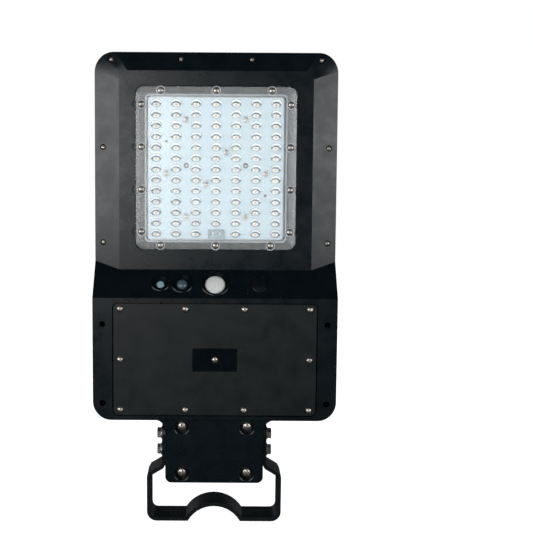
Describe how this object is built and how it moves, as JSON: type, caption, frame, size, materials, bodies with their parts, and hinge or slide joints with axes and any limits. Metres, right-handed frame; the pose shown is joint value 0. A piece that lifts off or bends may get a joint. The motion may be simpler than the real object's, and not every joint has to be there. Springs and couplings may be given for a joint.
{
  "type": "solar street lamp",
  "caption": "Black solar street lamp head with an LED lens window, sensors and battery box in front, a solar panel behind, on a tilting pole bracket.",
  "frame": {"origin": "middle of the bracket's seat plane, where it sits on its pole", "axes": "+Z along the lamp from the bracket to the far end, LED side facing -Y, solar panel facing +Y, +X to the right seen from the LED side"},
  "size_m": [0.24, 0.0783, 0.4756],
  "materials": {
    "black_abs": "satin moulded black ABS",
    "cover_abs": "fine matt charcoal ABS",
    "clear_lens": "clear polished polycarbonate",
    "milky_lens": "milky white HDPE",
    "blue_window": "pale blue polished window",
    "smoky_dome": "smoky grey-blue polished dome",
    "gloss_black": "polished black plastic",
    "panel_glass": "low-iron tempered glass",
    "solar_cells": "dark blue-black monocrystalline cells",
    "grey_silicone": "pale grey silicone",
    "black_rubber": "soft black rubber",
    "white_led_board": "white solder mask on aluminium",
    "aluminium_plate": "plain sheet aluminium",
    "circuit_board": "green circuit board",
    "cell_wrap": "blue shrink wrap",
    "red_insulation": "red silicone wire insulation",
    "screw_steel": "bright nickel plated steel",
    "painted_bracket": "black powder coat on 4 mm steel"
  },
  "bodies": {
    "bracket": {"pole_bracket": "painted_bracket"},
    "head": {"front_shell": "black_abs", "rear_shell": "black_abs", "solar_panel_glass": "panel_glass", "solar_cell_sheet": "solar_cells", "panel_seal": "grey_silicone", "panel_junction_box": "black_abs", "lens_cover": "clear_lens", "lens_seal": "grey_silicone", "led_board": "white_led_board", "led_connector": "clear_lens", "heat_sink": "aluminium_plate", "battery_cover": "cover_abs", "battery_cover_seal": "black_rubber", "cover_label_plate": "gloss_black", "battery_cell_1": "cell_wrap", "battery_cell_2": "cell_wrap", "battery_cell_3": "cell_wrap", "battery_cradle": "cover_abs", "controller_board": "circuit_board", "pir_lens": "milky_lens", "pir_sensor": "screw_steel", "light_sensor_window": "blue_window", "receiver_dome": "smoky_dome", "sensor_board": "circuit_board", "power_switch": "gloss_black", "led_lead": "red_insulation", "battery_lead": "red_insulation", "neck_bolt_1": "screw_steel", "neck_bolt_2": "screw_steel", "neck_bolt_3": "screw_steel", "neck_bolt_4": "screw_steel", "cover_screw_1": "screw_steel", "cover_screw_2": "screw_steel", "cover_screw_3": "screw_steel", "cover_screw_4": "screw_steel", "cover_screw_5": "screw_steel", "cover_screw_6": "screw_steel", "cover_screw_7": "screw_steel", "cover_screw_8": "screw_steel", "cover_screw_9": "screw_steel", "cover_screw_10": "screw_steel", "shell_screw_1": "screw_steel", "shell_screw_2": "screw_steel", "shell_screw_3": "screw_steel", "shell_screw_4": "screw_steel", "shell_screw_5": "screw_steel", "shell_screw_6": "screw_steel", "shell_screw_7": "screw_steel", "shell_screw_8": "screw_steel", "shell_screw_9": "screw_steel", "shell_screw_10": "screw_steel", "shell_screw_11": "screw_steel", "shell_screw_12": "screw_steel", "cover_centre_screw": "screw_steel", "bracket_bolt_1": "screw_steel", "bracket_bolt_2": "screw_steel", "bracket_bolt_3": "screw_steel", "bracket_bolt_4": "screw_steel"},
    "button": {"power_button": "black_rubber"}
  },
  "joints": [
    {"name": "head_tilt", "type": "hinge", "parent": "bracket", "child": "head", "pos_m": [0, 0, 0.0895], "axis": [1, 0, 0], "range_deg": [-30, 30]},
    {"name": "button_press", "type": "slide", "parent": "head", "child": "button", "axis": [0, 0.7835, -0.6213], "range_m": [0, 0.0012], "stiffness_N_per_m": 900, "springref_m": -0.0012}
  ]
}
